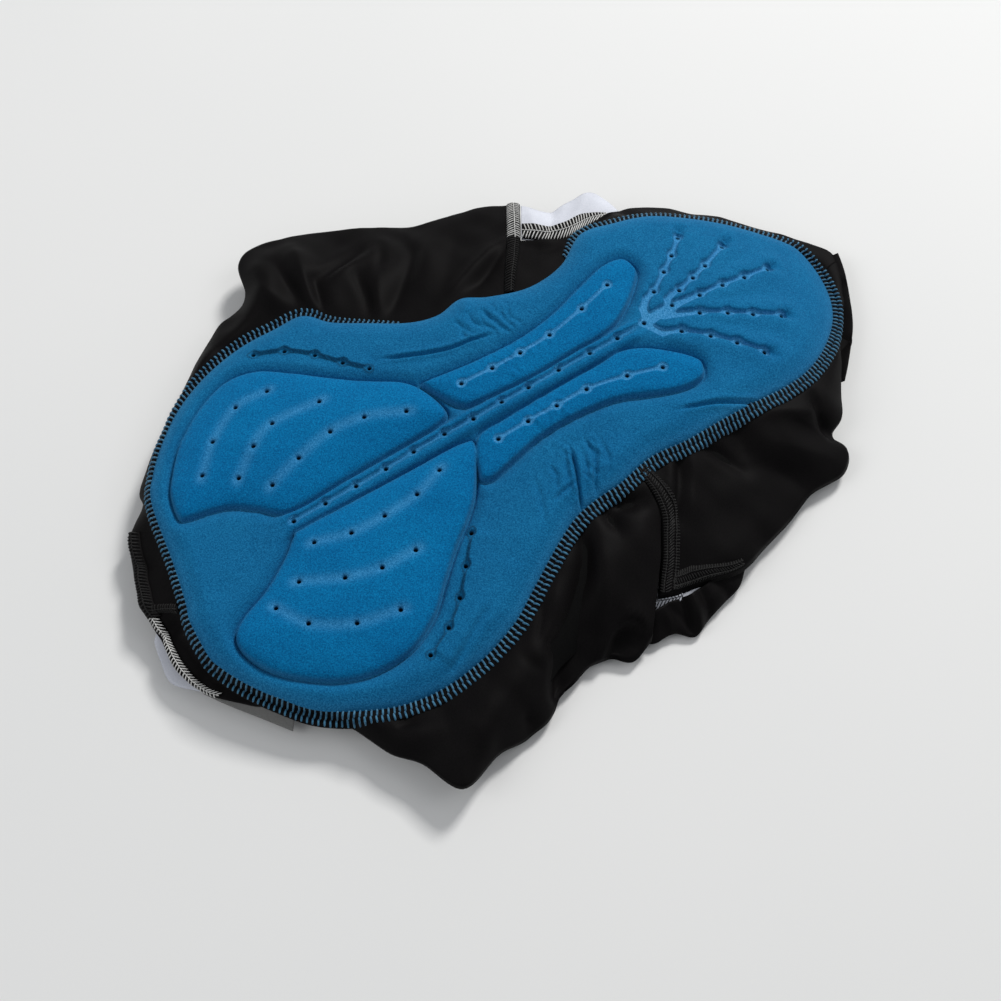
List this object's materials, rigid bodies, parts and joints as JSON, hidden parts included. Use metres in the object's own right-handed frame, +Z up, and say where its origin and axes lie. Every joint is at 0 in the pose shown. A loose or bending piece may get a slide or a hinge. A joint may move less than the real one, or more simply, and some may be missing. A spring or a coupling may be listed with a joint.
{
  "type": "padded cycling tights, turned inside out and lying in a heap",
  "caption": "Padded cycling tights turned inside out and dropped in a heap on a table, with the moulded seat pad lying face up on bunched black knit, white inserts and a blank care label.",
  "frame": {"origin": "middle of the footprint, on the surface that the heap lies on", "axes": "+Z up from the table; +X runs across the heap's longest side, to the right as pictured; +Y away from the camera; the pad's rear to front line is turned 31 degrees from +X towards +Y"},
  "size_m": [0.4014, 0.3574, 0.0489],
  "materials": {
    "pad_cloth": "brushed blue microfibre moulded over foam, matt with a short nap",
    "black_knit": "fine black warp knit with elastane, smooth with a faint sheen",
    "white_knit": "fine bluish white knit, smooth",
    "seam_thread": "overlocked black and white thread over the cut edge",
    "label_satin": "thin greyish white satin tape, left blank"
  },
  "bodies": {
    "root": {"heap_core": "black_knit", "pad_base": "pad_cloth", "seat_cushion_left": "pad_cloth", "seat_cushion_right": "pad_cloth", "mid_cushion_left": "pad_cloth", "mid_cushion_right": "pad_cloth", "back_panel_left": "black_knit", "back_panel_right": "black_knit", "front_panel_left": "black_knit", "front_panel_right": "black_knit", "rear_panel": "black_knit", "insert_left": "white_knit", "insert_right": "white_knit", "insert_back": "white_knit", "leg_right": "black_knit", "front_fold": "black_knit", "care_label": "label_satin", "inseam_left": "seam_thread", "inseam_right": "seam_thread", "cross_seam_left": "seam_thread", "cross_seam_right": "seam_thread", "rear_serge": "seam_thread"}
  },
  "joints": []
}
